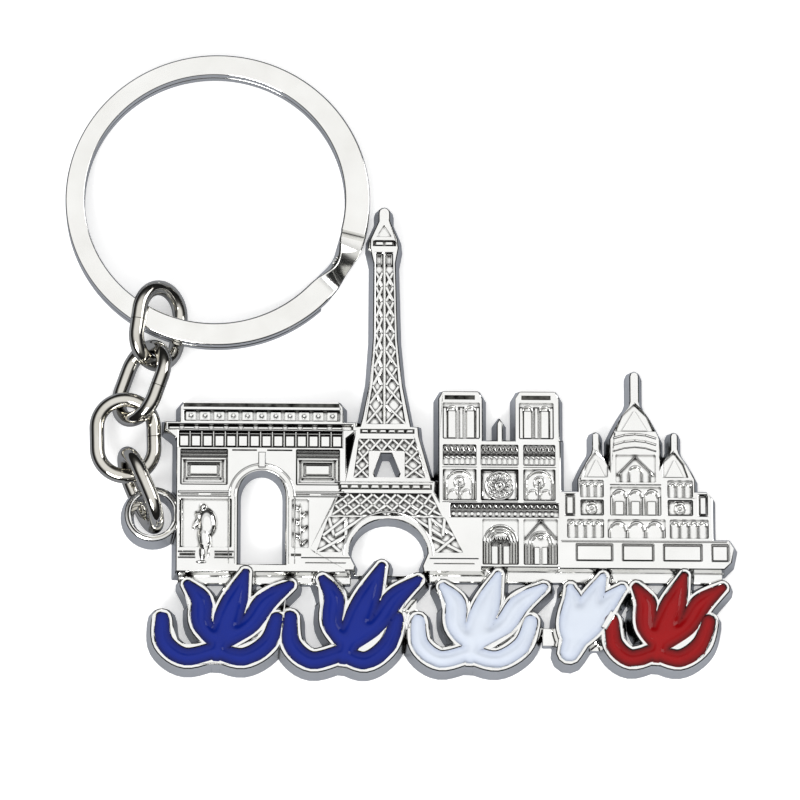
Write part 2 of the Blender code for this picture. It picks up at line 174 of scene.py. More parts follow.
class FinishColours(bpy.types.PropertyGroup):
    """Colours of the finishes."""

    nickel: colour_prop("Nickel", "Plated casting", "F1F1F0")
    nickel_worn: colour_prop("Worn nickel", "Duller patches", "DFDFDC")
    wire: colour_prop("Wire", "Plated wire", "DDDBD5")
    wire_worn: colour_prop("Worn wire", "Handled patches", "B9B5AB")
    steel: colour_prop("Steel", "Ring steel", "F0F0EE")
    steel_worn: colour_prop("Worn steel", "Grinding marks", "DAD9D5")
    # Painted shade in corners, laid by an occlusion node; it also stands for the dull metal that the polish misses
    corners: colour_prop("Corners", "Metal in corners that the polish misses", "2E2D2B")
    # Painted shade: near-black colour of the strips that stand for shade in deep grooves, and a lighter shade
    # mixed into them at random
    groove_shade: colour_prop("Groove", "Blackened grooves", "151514")
    groove_shade_lighter: colour_prop("Rubbed groove", "Grooves rubbed brighter", "6A6A66")
    # Each enamel has its own colour and a darker colour of painted shade for beside the rim
    blue: colour_prop("Blue", "Blue enamel", "0B2380")
    blue_rim_shade: colour_prop("Blue edge", "Blue enamel where it is thin", "050F52")
    white: colour_prop("White", "White enamel", "CFD6E1")
    white_rim_shade: colour_prop("White edge", "White enamel where it is thin", "AAB3C6")
    red: colour_prop("Red", "Red enamel", "92050A")
    red_rim_shade: colour_prop("Red edge", "Red enamel where it is thin", "3C0003")
    floor: colour_prop("Floor", "Pale studio floor", "F4F4F4")
    # Painted shade: the floor as the metal mirrors it, darker than the camera sees it
    floor_mirrored_shade: colour_prop("Mirrored floor", "Floor as the metal mirrors it", "82858C")


class StudioSizes(bpy.types.PropertyGroup):
    """Camera, floor and light."""

    elevation: angle_prop("Elevation", "Camera over the floor", 77)
    distance: length_prop("Distance", "Camera from the keychain", 600)
    aim: length_prop("Aim", "Point looked at, towards the ring", -3.2)
    lens: number_prop("Lens", "Focal length in millimetres", 275.0)
    floor: length_prop("Floor", "Side of the floor", 1200)
    tent: number_prop("Tent", "Strength of the light from the tent", 1.15)
    backdrop: number_prop("Backdrop", "Level of the plain background", 0.83)


# ---------------------------------------------------------------- making pieces

def clear_selection():
    """Leave edit mode and deselect everything."""
    if bpy.context.mode != "OBJECT":
        bpy.ops.object.mode_set(mode="OBJECT")
    for item in list(bpy.context.selected_objects):
        item.select_set(False)


def begin_piece(name):
    """An empty mesh object at the origin, in edit mode."""
    clear_selection()
    bpy.ops.object.add(type="MESH")
    piece = bpy.context.object
    piece.name = name
    piece.data.name = name
    bpy.ops.object.mode_set(mode="EDIT")
    return piece


def make_active(piece):
    """Select one object and nothing else."""
    clear_selection()
    piece.select_set(True)
    bpy.context.view_layer.objects.active = piece


def apply_modifier(piece, kind, **settings):
    """Add a modifier with its settings and apply it."""
    modifier = piece.modifiers.new(kind.lower(), kind)
    for key, value in settings.items():
        setattr(modifier, key, value)
    make_active(piece)
    bpy.ops.object.modifier_apply(modifier=modifier.name)


def put_in_place(piece, place):
    """Move a finished piece to its place and leave its object at the origin."""
    make_active(piece)
    piece.matrix_world = place
    bpy.ops.object.transform_apply(location=True, rotation=True, scale=True)


def finish_piece(piece, body, material, crease=35):
    """Shade a piece, give it its finish and let it ride on its body."""
    make_active(piece)
    bpy.ops.object.shade_smooth_by_angle(angle=math.radians(crease))
    apply_modifier(piece, "WEIGHTED_NORMAL", keep_sharp=True)
    piece.data.materials.clear()
    piece.data.materials.append(material)
    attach(piece, body)


def copy_of_node(name, node):
    """A copy of a CAD node with its triangles joined along their edges."""
    source = frame["nodes"][node]
    piece = bpy.data.objects.new(name, source.data.copy())
    bpy.context.scene.collection.objects.link(piece)
    make_active(piece)
    bpy.ops.object.mode_set(mode="EDIT")
    bpy.ops.mesh.select_all(action="SELECT")
    bpy.ops.mesh.customdata_custom_splitnormals_clear()
    bpy.ops.mesh.remove_doubles(threshold=0.001 * MM)
    bpy.ops.object.mode_set(mode="OBJECT")
    return piece


def pull_in_spikes(piece, node, reach):
    """Bring back the points that a bevel has thrown further than reach from the CAD node's surface."""
    source = frame["nodes"][node].data
    surface = BVHTree.FromPolygons([v.co for v in source.vertices], [p.vertices for p in source.polygons])
    for vertex in piece.data.vertices:
        nearest, _, _, distance = surface.find_nearest(vertex.co)
        if distance > reach:
            vertex.co = nearest


def mount(name):
    """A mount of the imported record."""
    return next(m for m in frame["record"]["mounts"] if m["name"] == name)


def plate_place():
    """The plate's own frame, found from the mount on its back."""
    back = mount("plate_back")
    up = -Vector(back["axis"])
    across = Vector((0, 1, 0))
    along = across.cross(up)
    corner = Vector(back["pos_m"]) - along * BACK_MOUNT[0] * MM - across * BACK_MOUNT[1] * MM
    return Matrix.Translation(corner) @ Matrix((along, across, up)).transposed().to_4x4()


# ---------------------------------------------------------------- finishes

def add_node(tree, kind, inputs=None, **settings):
    """Add a node, set its properties, and set or link its inputs."""
    node = tree.nodes.new(kind)
    for key, value in settings.items():
        setattr(node, key, value)
    for key, value in (inputs or {}).items():
        if isinstance(value, bpy.types.NodeSocket):
            tree.links.new(value, node.inputs[key])
        else:
            node.inputs[key].default_value = value
    return node


def new_material(name):
    """A material with its tree, its shader and the place on the object."""
    material = bpy.data.materials.new(name)
    material.use_nodes = True
    tree = material.node_tree
    place = add_node(tree, "ShaderNodeTexCoord").outputs["Object"]
    return material, tree, tree.nodes["Principled BSDF"], place


def noise(tree, place, size, detail):
    """Cloudy noise whose patches have a size in millimetres."""
    node = add_node(tree, "ShaderNodeTexNoise", {"Vector": place, "Scale": 1 / (size * MM), "Detail": detail})
    return node.outputs["Fac"]


def blend(tree, factor, first, second):
    """A mix of two colours."""
    node = add_node(tree, "ShaderNodeMix", {"Factor": factor, "A": first, "B": second}, data_type="RGBA")
    return node.outputs["Result"]


def spread(tree, value, low, high, to_low=0.0, to_high=1.0):
    """A value carried from one range over to another, and held inside it."""
    node = add_node(tree, "ShaderNodeMapRange", {"Value": value, "From Min": low, "From Max": high,
                                                 "To Min": to_low, "To Max": to_high})
    return node.outputs["Result"]


def bump(tree, height, strength, distance, under=None):
    """A bumped normal, on top of another one where that is given. The distance is in millimetres."""
    inputs = {"Height": height, "Strength": strength, "Distance": distance * MM}
    if under is not None:
        inputs["Normal"] = under
    return add_node(tree, "ShaderNodeBump", inputs).outputs["Normal"]


def polished_metal(name, bright, worn, roughness, wave, grain, reach):
    """Metal with duller patches, soft waves left by polishing, fine grain and painted shade in corners.

    Lengths are in millimetres. An occlusion node paints shade into corners as far out as reach; the same dark
    colour also stands for the dull metal that the polish doesn't get into.
    """
    material, tree, shader, place = new_material(name)
    corners = add_node(tree, "ShaderNodeAmbientOcclusion", {"Distance": reach * MM}, samples=6)
    unshaded_part = spread(tree, corners.outputs["AO"], 0.4, 0.8)
    patches = noise(tree, place, 3.5, 4.0)
    tint = blend(tree, patches, bright, worn)
    dull = spread(tree, patches, 0.3, 0.75, roughness, roughness * 1.8)
    soft = bump(tree, noise(tree, place, wave, 1.0), 0.6, 0.018)
    fine = bump(tree, noise(tree, place, grain, 2.0), 0.35, 0.004, soft)
    # Painted shade: the corner colour is blended in where the occlusion node finds corners
    shade = blend(tree, unshaded_part, bpy.context.scene.finish_colours.corners, tint)
    tree.links.new(shade, shader.inputs["Base Color"])
    tree.links.new(dull, shader.inputs["Roughness"])
    tree.links.new(fine, shader.inputs["Normal"])
    shader.inputs["Metallic"].default_value = 1.0
    return material, tree, fine


def nickel_plate():
    """Bright nickel on die-cast zinc, barrel polished: a mirror with soft waves and rounded detail."""
    tones = bpy.context.scene.finish_colours
    return polished_metal(CASTING_FINISH, tones.nickel, tones.nickel_worn, 0.07, 1.6, 0.22, 0.3)[0]


def painted_groove_shade():
    """Painted shade: smooth, almost black metal for strips that stand for the shade in deep grooves, with lighter
    patches at random.
    """
    tones = bpy.context.scene.finish_colours
    material, tree, shader, place = new_material("painted_groove_shade")
    # Random patches of lighter painted shade
    shade_variation = spread(tree, noise(tree, place, 0.8, 4.0), 0.35, 0.8)
    tree.links.new(blend(tree, shade_variation, tones.groove_shade, tones.groove_shade_lighter), shader.inputs["Base Color"])
    shader.inputs["Metallic"].default_value = 1.0
    shader.inputs["Roughness"].default_value = 0.3
    return material


def plated_wire():
    """Nickel on drawn steel wire: a hard mirror, rubbed a little darker by handling."""
    tones = bpy.context.scene.finish_colours
    return polished_metal("nickel_on_drawn_wire", tones.wire, tones.wire_worn, 0.05, 1.1, 0.16, 0.25)[0]


def ground_steel(centre, turn):
    """Nickel on flat spring steel: a mirror with fine grinding lines that run round the ring."""
    tones = bpy.context.scene.finish_colours
    material, tree, polish = polished_metal("nickel_on_ground_spring_steel", tones.steel, tones.steel_worn,
                                            0.07, 2.4, 0.2, 0.45)
    place = add_node(tree, "ShaderNodeTexCoord").outputs["Object"]
    level = add_node(tree, "ShaderNodeMapping", {"Vector": place, "Location": centre, "Rotation": turn},
                     vector_type="TEXTURE")
    flat = add_node(tree, "ShaderNodeVectorMath", {0: level.outputs["Vector"], 1: (1.0, 1.0, 0.0)},
                    operation="MULTIPLY")
    radius = add_node(tree, "ShaderNodeVectorMath", {0: flat.outputs["Vector"]}, operation="LENGTH")
    lines = add_node(tree, "ShaderNodeTexNoise", {"W": radius.outputs["Value"], "Scale": 1 / (0.14 * MM),
                                                  "Detail": 3.0}, noise_dimensions="1D")
    ground = bump(tree, lines.outputs["Fac"], 0.5, 0.003, polish)
    tree.links.new(ground, tree.nodes["Principled BSDF"].inputs["Normal"])
    return material


def hard_enamel(name, body, edge):
    """Glossy enamel paint, poured and baked, with a wavy liquid surface and painted shade: darker in colour beside
    the rim.
    """
    material, tree, shader, place = new_material(name)
    depth = add_node(tree, "ShaderNodeAttribute", attribute_name="from_rim")
    uneven = add_node(tree, "ShaderNodeMath", {0: noise(tree, place, 2.2, 3.0), 1: 0.35, 2: -0.17},
                      operation="MULTIPLY_ADD")
    fill = add_node(tree, "ShaderNodeMath", {0: depth.outputs["Fac"], 1: uneven.outputs["Value"]},
                    operation="ADD", use_clamp=True)
    soft = bump(tree, noise(tree, place, 2.8, 1.0), 0.8, 0.2)
    fine = bump(tree, noise(tree, place, 0.35, 2.0), 0.3, 0.006, soft)
    # Painted shade: the darker colour is blended in beside the rim, unevenly at random
    tree.links.new(blend(tree, fill.outputs["Value"], edge, body), shader.inputs["Base Color"])
    tree.links.new(fine, shader.inputs["Normal"])
    shader.inputs["Roughness"].default_value = 0.07
    shader.inputs["IOR"].default_value = 1.5
    shader.inputs["Specular IOR Level"].default_value = 0.2
    return material


def matte_floor():
    """Smooth card: pale and matte, with a faint unevenness. The polished metal mirrors it as a darker grey:
    painted shade of the floor round the keychain.
    """
    tones = bpy.context.scene.finish_colours
    material, tree, shader, place = new_material("matte_card")
    rise = bump(tree, noise(tree, place, 1.5, 4.0), 0.05, 0.02)
    # Painted shade: glossy rays see the floor darker, and it glows in that colour to them too
    mirrored = add_node(tree, "ShaderNodeLightPath").outputs["Is Glossy Ray"]
    shade = blend(tree, mirrored, tones.floor, tones.floor_mirrored_shade)
    tree.links.new(rise, shader.inputs["Normal"])
    tree.links.new(shade, shader.inputs["Base Color"])
    tree.links.new(shade, shader.inputs["Emission Color"])
    shader.inputs["Roughness"].default_value = 0.9
    shader.inputs["Specular IOR Level"].default_value = 0.1
    shader.inputs["Emission Strength"].default_value = 0.45
    return material


# ---------------------------------------------------------------- relief work, in millimetres on the plate

def bar(centre, length, width, high=MOULDING, low=FIELD_FLOOR - SINK, turn=0.0):
    """A straight block. Its upper edges are chamfered when the relief is finished."""
    bpy.ops.mesh.primitive_cube_add(
        size=1, location=(centre[0] * MM, centre[1] * MM, (high + low) / 2 * MM),
        rotation=(0, 0, turn), scale=(length * MM, width * MM, (high - low) * MM))


def panel(left, bottom, right, top, high=MOULDING, low=FIELD_FLOOR - SINK):
    """A block between two corners."""
    bar(((left + right) / 2, (bottom + top) / 2), right - left, top - bottom, high, low)


def on_face(left, bottom, right, top, proud=PROUD):
    """A low block that stands on the plate's face."""
    panel(left, bottom, right, top, FACE + proud, FACE - SINK)


def strut(start, end, width, high=MOULDING, low=FIELD_FLOOR - SINK):
    """A block from one point to another."""
    (x0, y0), (x1, y1) = start, end
    length = math.hypot(x1 - x0, y1 - y0)
    bar(((x0 + x1) / 2, (y0 + y1) / 2), length, width, high, low, math.atan2(y1 - y0, x1 - x0))


def pointed_panel(foot, half_width, height, high):
    """A three-sided block that stands on its base."""
    size = (half_width / math.cos(math.radians(30)), height / 1.5)
    bpy.ops.mesh.primitive_cylinder_add(
        vertices=3, radius=1, depth=1, scale=(size[0] * MM, size[1] * MM, (high - FIELD_FLOOR + SINK) * MM),
        location=(foot[0] * MM, (foot[1] + size[1] / 2) * MM, (high + FIELD_FLOOR - SINK) / 2 * MM))


def border(left, bottom, right, top, width, high=MOULDING):
    """A four-sided frame."""
    panel(left, bottom, right, bottom + width, high)
    panel(left, top - width, right, top, high)
    panel(left, bottom, left + width, top, high - STEP_DOWN)
    panel(right - width, bottom, right, top, high - STEP_DOWN)


def round_moulding(centre, radius, width, high=MOULDING, half=False, sides=28):
    """A round bead, whole or only its upper half."""
    level = (high - width / 2) * MM
    bpy.ops.mesh.primitive_torus_add(
        location=(centre[0] * MM, centre[1] * MM, level), major_radius=radius * MM,
        minor_radius=width / 2 * MM, major_segments=sides, minor_segments=8)
    if half:
        bpy.ops.mesh.bisect(plane_co=(centre[0] * MM, centre[1] * MM, level), plane_no=(0, 1, 0),
                            use_fill=True, clear_inner=True, threshold=0.0001 * MM)


def stud(centre, radius, high=MOULDING, low=FIELD_FLOOR - SINK, sides=12):
    """A small round boss with a narrower top."""
    bpy.ops.mesh.primitive_cone_add(
        vertices=sides, radius1=radius * MM, radius2=radius * 0.75 * MM, depth=(high - low) * MM,
        location=(centre[0] * MM, centre[1] * MM, (high + low) / 2 * MM))


def shade_strip(left, bottom, right, top, level):
    """A shallow strip of painted shade that stands for the shade in a deep narrow groove."""
    panel(left, bottom, right, top, level + SHADE_STRIP_PROUD, level - SINK)


def row(start, pitch, count):
    """Evenly spaced places."""
    return [start + pitch * i for i in range(count)]


def lattice(corners, columns, rows, width):
    """Crossed struts in the cells of a four-sided field. Corners run round from the lower left."""
    low_left, low_right, top_right, top_left = (Vector(c) for c in corners)

    def place(u, v):
        return low_left.lerp(low_right, u).lerp(top_left.lerp(top_right, u), v)

    for j in range(rows):
        v0, v1 = j / rows, (j + 1) / rows
        for i in range(columns):
            u0, u1 = i / columns, (i + 1) / columns
            strut(place(u0, v0), place(u1, v1), width)
            strut(place(u1, v0), place(u0, v1), width, MOULDING - STEP_DOWN)


def arcade(left, bottom, right, top, count, column=0.16):
    """A row of round arches on columns."""
    bay = (right - left) / count
    radius = bay / 2 - column / 2
    spring = top - radius - column
    for i in range(count):
        centre = left + bay * (i + 0.5)
        round_moulding((centre, spring), radius, column * 1.2, half=True, sides=20)
    for i in range(count + 1):
        bar((left + bay * i, (bottom + spring) / 2), column, spring - bottom, MOULDING - STEP_DOWN)


def zigzag(left, bottom, right, top, count, width):
    """A running zigzag of short struts."""
    pitch = (right - left) / count
    for i in range(count):
        foot, peak, end = left + pitch * i, left + pitch * (i + 0.5), left + pitch * (i + 1)
        strut((foot, bottom), (peak, top), width)
        strut((peak, top), (end, bottom), width, MOULDING - STEP_DOWN)


def finish_relief(piece, finish=CASTING_FINISH):
    """Chamfer the upper edges of a relief and lay it on the plate."""
    make_active(piece)
    bpy.ops.object.mode_set(mode="EDIT")
    bpy.ops.mesh.select_mode(type="EDGE")
    bpy.ops.mesh.select_all(action="DESELECT")
    mesh = bmesh.from_edit_mesh(piece.data)
    for edge in mesh.edges:
        level = [face.normal.z > 0.99 and len(face.verts) in (4, 12) for face in edge.link_faces]
        edge.select = any(level) and not all(level)
    bmesh.update_edit_mesh(piece.data)
    bpy.ops.mesh.bevel(offset=bpy.context.scene.relief_sizes.moulding_edge, segments=1)
    bpy.ops.mesh.select_mode(type="VERT")
    put_in_place(piece, plate_place())
    finish_piece(piece, "charm", bpy.data.materials[finish], crease=30)


def blob(centre, half_width, half_height, rise, turn=0.0):
    """A rounded lump of a modelled figure."""
    bpy.ops.mesh.primitive_uv_sphere_add(
        segments=16, ring_count=10, radius=1.0, rotation=(0, 0, math.radians(turn)),
        location=(centre[0] * MM, centre[1] * MM, FIELD_FLOOR * MM),
        scale=(half_width * MM, half_height * MM, rise * MM))


def finish_figure(piece):
    """Melt the lumps of a figure into one smooth form and lay it on the plate."""
    apply_modifier(piece, "REMESH", mode="VOXEL", voxel_size=bpy.context.scene.relief_sizes.figure_grain)
    apply_modifier(piece, "SMOOTH", factor=0.5, iterations=4)
    put_in_place(piece, plate_place())
    finish_piece(piece, "charm", bpy.data.materials[CASTING_FINISH], crease=80)


# ---------------------------------------------------------------- pieces

class KEYCHAIN_OT_casting(bpy.types.Operator):
    """Cast plate: the CAD casting with its edges rounded by the polish"""

    bl_idname = "keychain.casting"
    bl_label = "Casting"

    def execute(self, context):
        piece = copy_of_node("cast_plate", "charm_casting")
        apply_modifier(piece, "BEVEL", width=context.scene.relief_sizes.casting_edge, segments=1,
                       limit_method="ANGLE", angle_limit=math.radians(35), use_clamp_overlap=False)
        pull_in_spikes(piece, "charm_casting", context.scene.relief_sizes.casting_edge)
        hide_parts("charm_casting")
        finish_piece(piece, "charm", bpy.data.materials[CASTING_FINISH])
        return {"FINISHED"}


class KEYCHAIN_OT_arch(bpy.types.Operator):
    """Triumphal arch: studded squares, frieze, nested panels, archivolt, courses and the bead on the eye"""

    bl_idname = "keychain.arch"
    bl_label = "Arch"

    def execute(self, context):
        piece = begin_piece("arch_mouldings")
        for x in row(1.35, 1.38, 11):
            panel(x - 0.53, 14.46, x + 0.53, 15.4, 2.02)
            stud((x, 14.93), 0.27, MOULDING, 1.9)
        for x in row(-0.25, 1.44, 12):
            panel(x - 0.52, 13.57, x + 0.52, 13.84)
        for x in row(0.72, 1.145, 14):
            panel(x - 0.44, 11.87, x + 0.44, 12.95, 2.2)
            panel(x + 0.52, 11.8, x + 0.62, 13.4)
        panel(0.15, 13.1, 16.2, 13.22, 2.1)
        for left, right in ((0.35, 5.0), (11.6, 15.9)):
            self.wall_panel(left, right)
        self.archivolt()
        self.piers()
        finish_relief(piece)
        return {"FINISHED"}

    def wall_panel(self, left, right):
        """Two string courses over three nested panels."""
        panel(left, 11.32, right, 11.48)
        panel(left, 10.95, right, 11.12)
        border(left + 0.08, 8.05, right - 0.15, 10.75, 0.26)
        border(left + 0.55, 8.7, right - 0.62, 10.42, 0.2)
        panel(left + 0.98, 9.12, right - 1.05, 10.02, 2.2)

    def archivolt(self):
        """Two round mouldings over the arch way, with a keystone and jambs, and the bead on the eye."""
        round_moulding(EYE, 2.45, 0.48, 2.27, sides=72)
        for radius in (2.62, 3.2):
            round_moulding(ARCH_WAY, radius, 0.2, FACE + PROUD, half=True, sides=48)
            for side in (-1, 1):
                bar((ARCH_WAY[0] + side * radius, 3.5), 0.16, 6.6, FACE + 0.05, FACE - SINK)
        on_face(7.95, 9.75, 8.65, 11.3)

    def piers(self):
        """Imposts, base courses and thin frames of the two piers."""
        for left, right in ((0.15, 5.3), (11.3, 16.3)):
            on_face(left, 6.82, right, 6.95)
            on_face(left, 7.2, right, 7.42)
        for left, right in ((0.2, 1.9), (3.7, 5.6)):
            for y in (0.72, 1.3):
                on_face(left, y, right, y + 0.16)
        panel(0.42, 1.9, 0.62, 6.55, 2.2)
        panel(5.1, 1.9, 5.3, 6.55, 2.2)


class KEYCHAIN_OT_groove_shade(bpy.types.Operator):
    """Strips of painted shade in the deep grooves of the arch, the tower, the cathedral and the terrace"""

    bl_idname = "keychain.grooves"
    bl_label = "Grooves"

    def execute(self, context):
        piece = begin_piece("groove_shade_strips")
        shade_strip(0.6, 15.72, 15.85, 16.2, FACE)
        for left, right in ((26.05, 29.1), (33.55, 36.5)):
            shade_strip(left, 16.62, right, 17.15, FACE)
        for x in row(-0.25, 1.44, 12):
            shade_strip(x - 0.5, 13.86, x + 0.5, 14.03, FIELD_FLOOR)
        for x in row(0.72, 1.145, 14):
            shade_strip(x - 0.42, 13.0, x + 0.42, 13.36, FIELD_FLOOR)
        for left, right in ((0.42, 4.9), (11.65, 15.8)):
            shade_strip(left, 11.14, right, 11.3, FIELD_FLOOR)
            shade_strip(left + 0.75, 10.06, right - 0.75, 10.2, FIELD_FLOOR)
            shade_strip(left + 0.75, 8.92, right - 0.75, 9.08, FIELD_FLOOR)
        for left, right in ((5.35, 7.85), (8.75, 11.3)):
            shade_strip(left, 11.35, right, 11.6, FACE)
        for left, right in ((0.35, 2.2), (3.3, 5.1), (11.4, 13.0), (14.0, 15.6)):
            shade_strip(left, 6.98, right, 7.17, FACE)
        for left, right in ((0.3, 1.9), (3.7, 5.5), (11.1, 12.2)):
            shade_strip(left, 0.92, right, 1.27, FACE)
        shade_strip(15.7, 7.58, 24.9, 8.2, FACE)
        shade_strip(17.8, 13.16, 23.2, 13.72, FACE)
        shade_strip(37.4, 2.5, 53.6, 2.6, FACE)
        for left, right in ((25.8, 29.3), (29.6, 33.3), (33.7, 37.0)):
            shade_strip(left, 9.88, right, 9.98, FACE)
            shade_strip(left, 6.42, right, 6.52, FACE)
        finish_relief(piece, painted_groove_shade().name)
        return {"FINISHED"}


class KEYCHAIN_OT_figures(bpy.types.Operator):
    """Small reliefs on the arch's piers: a plain robed figure and a spray of leaves"""

    bl_idname = "keychain.figures"
    bl_label = "Figures"

    def execute(self, context):
        figure = begin_piece("pier_figure")
        blob((2.6, 5.85), 0.4, 0.42, 0.6)
        blob((3.0, 4.35), 0.98, 1.55, 0.66, 4)
        blob((2.15, 5.0), 0.28, 0.6, 0.52, 30)
        blob((1.85, 4.2), 0.22, 0.62, 0.45, -20)
        blob((2.75, 2.75), 0.68, 1.5, 0.66, 10)
        blob((2.55, 1.25), 0.46, 1.15, 0.84, 3)
        blob((3.15, 1.35), 0.24, 0.9, 0.78, -4)
        blob((2.45, 0.35), 0.85, 0.24, 0.8)
        finish_figure(figure)
        leaves = begin_piece("pier_leaves")
        for i in range(6):
            side = -1 if i % 2 else 1
            blob((12.05 + side * 0.38, 2.4 + 0.7 * i), 0.22, 0.5, 0.42, -side * 42)
        blob((12.05, 4.2), 0.13, 2.2, 0.4)
        finish_figure(leaves)
        return {"FINISHED"}


class KEYCHAIN_OT_tower(bpy.types.Operator):
    """Iron tower: lattice of the shaft, stages, platforms and braced legs"""

    bl_idname = "keychain.tower"
    bl_label = "Tower"

    def execute(self, context):
        piece = begin_piece("tower_lattice")
        width = context.scene.relief_sizes.strut
        self.shaft(context.scene.relief_sizes.shaft_cell, width)
        self.stages(width)
        self.platforms()
        finish_relief(piece)
        return {"FINISHED"}

    def edge_at(self, edge, y):
        """Where an edge of the shaft is at a height."""
        return float(np.interp(y, [p[0] for p in edge], [p[1] for p in edge]))

    def shaft(self, cell, width):
        """Two columns of crossed cells that grow smaller upwards, with a small frame over each."""
        for left, right in ((SHAFT_LEFT[-1][1], SHAFT_RIB[0]), (SHAFT_RIB[1], SHAFT_RIGHT[-1][1])):
            border(left + 0.02, SHAFT_TOP - 1.2, right - 0.02, SHAFT_TOP - 0.08, 0.13)
        y = SHAFT_BOTTOM
        while y + cell < SHAFT_TOP - 1.0:
            top = y + cell
            for outer, inner in ((SHAFT_LEFT, SHAFT_RIB[0]), (SHAFT_RIGHT, SHAFT_RIB[1])):
                low, high = self.edge_at(outer, y), self.edge_at(outer, top)
                strut((low, y), (inner, top), width)
                strut((inner, y), (high, top), width, MOULDING - STEP_DOWN)
            y = top
            cell *= 0.965

    def stages(self, width):
        """Upper stage on both sides of the window, the band under it and the legs."""
        lattice([(17.2, 8.8), (18.7, 8.8), (18.7, 11.5), (17.65, 11.5)], 1, 2, width)
        lattice([(22.2, 8.8), (24.2, 8.8), (23.5, 11.5), (22.2, 11.5)], 1, 2, width)
        lattice([(17.65, 11.5), (23.5, 11.5), (23.2, 12.7), (17.7, 12.7)], 5, 1, width)
        lattice([(15.1, 5.1), (25.8, 5.1), (24.8, 7.2), (15.7, 7.2)], 8, 2, width)
        for legs in ([(13.6, 1.4), (16.0, 1.4), (16.5, 3.0), (14.2, 3.0)],
                     [(25.2, 1.4), (27.9, 1.4), (27.1, 3.0), (24.7, 3.0)]):
            lattice(legs, 1, 1, 1.2 * width)
        for knees in ([(14.2, 3.0), (16.5, 3.0), (18.2, 4.9), (14.8, 4.9)],
                      [(24.7, 3.0), (27.1, 3.0), (26.1, 4.9), (23.1, 4.9)]):
            lattice(knees, 2, 1, 1.2 * width)

    def platforms(self):
        """Beaded platforms, the gallery under the roof and the mouldings of the great arch."""
        panel(19.35, 32.2, 20.1, 32.6, 2.15)
        panel(20.3, 32.2, 21.05, 32.6, 2.15)
        for x in row(15.95, 1.0, 9):
            on_face(x, 7.72, x + 0.72, 8.08)
        for x in row(18.0, 0.88, 6):
            on_face(x, 13.28, x + 0.6, 13.6)
        on_face(15.4, 8.32, 25.0, 8.44, 0.06)
        round_moulding((20.6, 1.1), 4.35, 0.2, FACE + 0.06, half=True, sides=48)
        for left, right in ((12.1, 16.9), (24.6, 29.4)):
            on_face(left, 0.75, right, 0.9, 0.06)
            on_face(left + 0.4, 0.25, right - 0.4, 0.4, 0.06)


